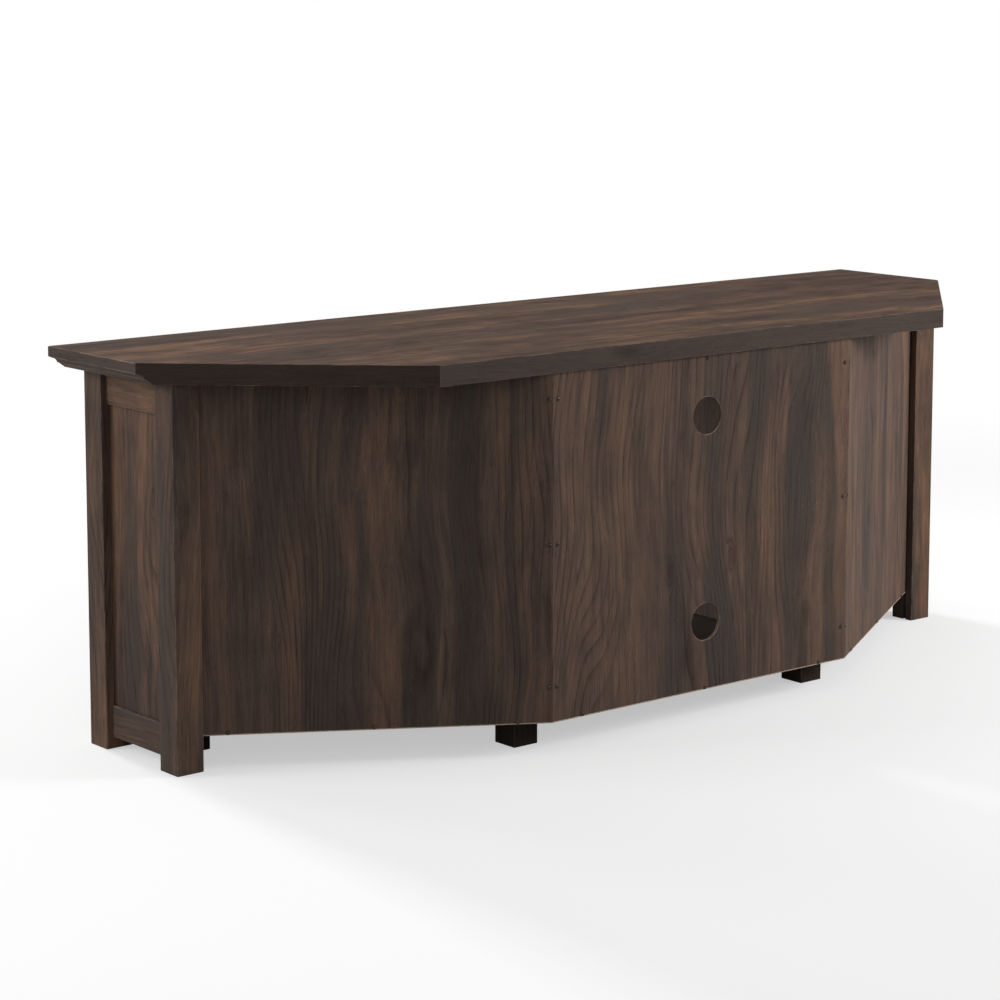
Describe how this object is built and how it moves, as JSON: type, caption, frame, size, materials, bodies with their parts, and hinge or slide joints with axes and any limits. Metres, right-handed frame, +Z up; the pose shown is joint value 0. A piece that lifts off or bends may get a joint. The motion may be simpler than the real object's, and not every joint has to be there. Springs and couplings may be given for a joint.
{
  "type": "corner television cabinet",
  "caption": "Low six-sided corner cabinet on square posts: framed ends, an open centre bay with a shelf between hinged framed doors, and a folded back with cable holes.",
  "frame": {"origin": "on the floor, under the middle of the top's length and depth", "axes": "+X along the length, to the right as seen from the front; +Y to the back; +Z up"},
  "size_m": [1.473, 0.467, 0.528],
  "materials": {
    "top_wood": "dark walnut laminate, satin",
    "frame_wood": "dark walnut laminate, satin",
    "panel_wood": "dark walnut laminate, satin",
    "back_board": "printed dark walnut hardboard, satin",
    "case_board": "dark walnut laminate, satin",
    "dark_metal": "oil-rubbed bronze, satin",
    "catch_plastic": "dark brown plastic, matt",
    "strike_steel": "zinc-plated steel"
  },
  "bodies": {
    "cabinet": {"top_slab": "top_wood", "front_crown_moulding": "frame_wood", "left_crown_moulding": "frame_wood", "right_crown_moulding": "frame_wood", "left_front_post": "frame_wood", "right_front_post": "frame_wood", "left_rear_post": "frame_wood", "right_rear_post": "frame_wood", "left_middle_post": "frame_wood", "right_middle_post": "frame_wood", "left_end_top_rail": "frame_wood", "right_end_top_rail": "frame_wood", "left_end_bottom_rail": "frame_wood", "right_end_bottom_rail": "frame_wood", "left_front_top_rail": "frame_wood", "right_front_top_rail": "frame_wood", "left_front_bottom_rail": "frame_wood", "right_front_bottom_rail": "frame_wood", "left_rear_foot": "frame_wood", "right_rear_foot": "frame_wood", "left_end_foot": "frame_wood", "right_end_foot": "frame_wood", "centre_front_top_rail": "frame_wood", "centre_front_bottom_rail": "frame_wood", "left_end_panel": "panel_wood", "right_end_panel": "panel_wood", "centre_back_panel": "back_board", "left_slanted_back_panel": "back_board", "right_slanted_back_panel": "back_board", "sub_top": "case_board", "bottom_panel": "case_board", "centre_shelf": "case_board", "left_partition": "case_board", "right_partition": "case_board", "left_side_shelf": "case_board", "right_side_shelf": "case_board", "left_upper_hinge_frame_leaf": "dark_metal", "right_upper_hinge_frame_leaf": "dark_metal", "left_lower_hinge_frame_leaf": "dark_metal", "right_lower_hinge_frame_leaf": "dark_metal", "left_door_catch": "catch_plastic", "right_door_catch": "catch_plastic"},
    "left_door": {"left_door_hinge_stile": "frame_wood", "left_door_latch_stile": "frame_wood", "left_door_top_rail": "frame_wood", "left_door_bottom_rail": "frame_wood", "left_door_panel": "panel_wood", "left_door_knob": "dark_metal", "left_upper_hinge_door_leaf": "dark_metal", "left_lower_hinge_door_leaf": "dark_metal", "left_door_strike": "strike_steel"},
    "right_door": {"right_door_hinge_stile": "frame_wood", "right_door_latch_stile": "frame_wood", "right_door_top_rail": "frame_wood", "right_door_bottom_rail": "frame_wood", "right_door_panel": "panel_wood", "right_door_knob": "dark_metal", "right_upper_hinge_door_leaf": "dark_metal", "right_lower_hinge_door_leaf": "dark_metal", "right_door_strike": "strike_steel"}
  },
  "joints": [
    {"name": "left_door_hinge", "type": "hinge", "parent": "cabinet", "child": "left_door", "pos_m": [-0.6567, -0.2008, 0.25725], "axis": [0, 0, -1], "range_deg": [0, 110]},
    {"name": "right_door_hinge", "type": "hinge", "parent": "cabinet", "child": "right_door", "pos_m": [0.6567, -0.2008, 0.25725], "axis": [0, 0, 1], "range_deg": [0, 110]}
  ]
}
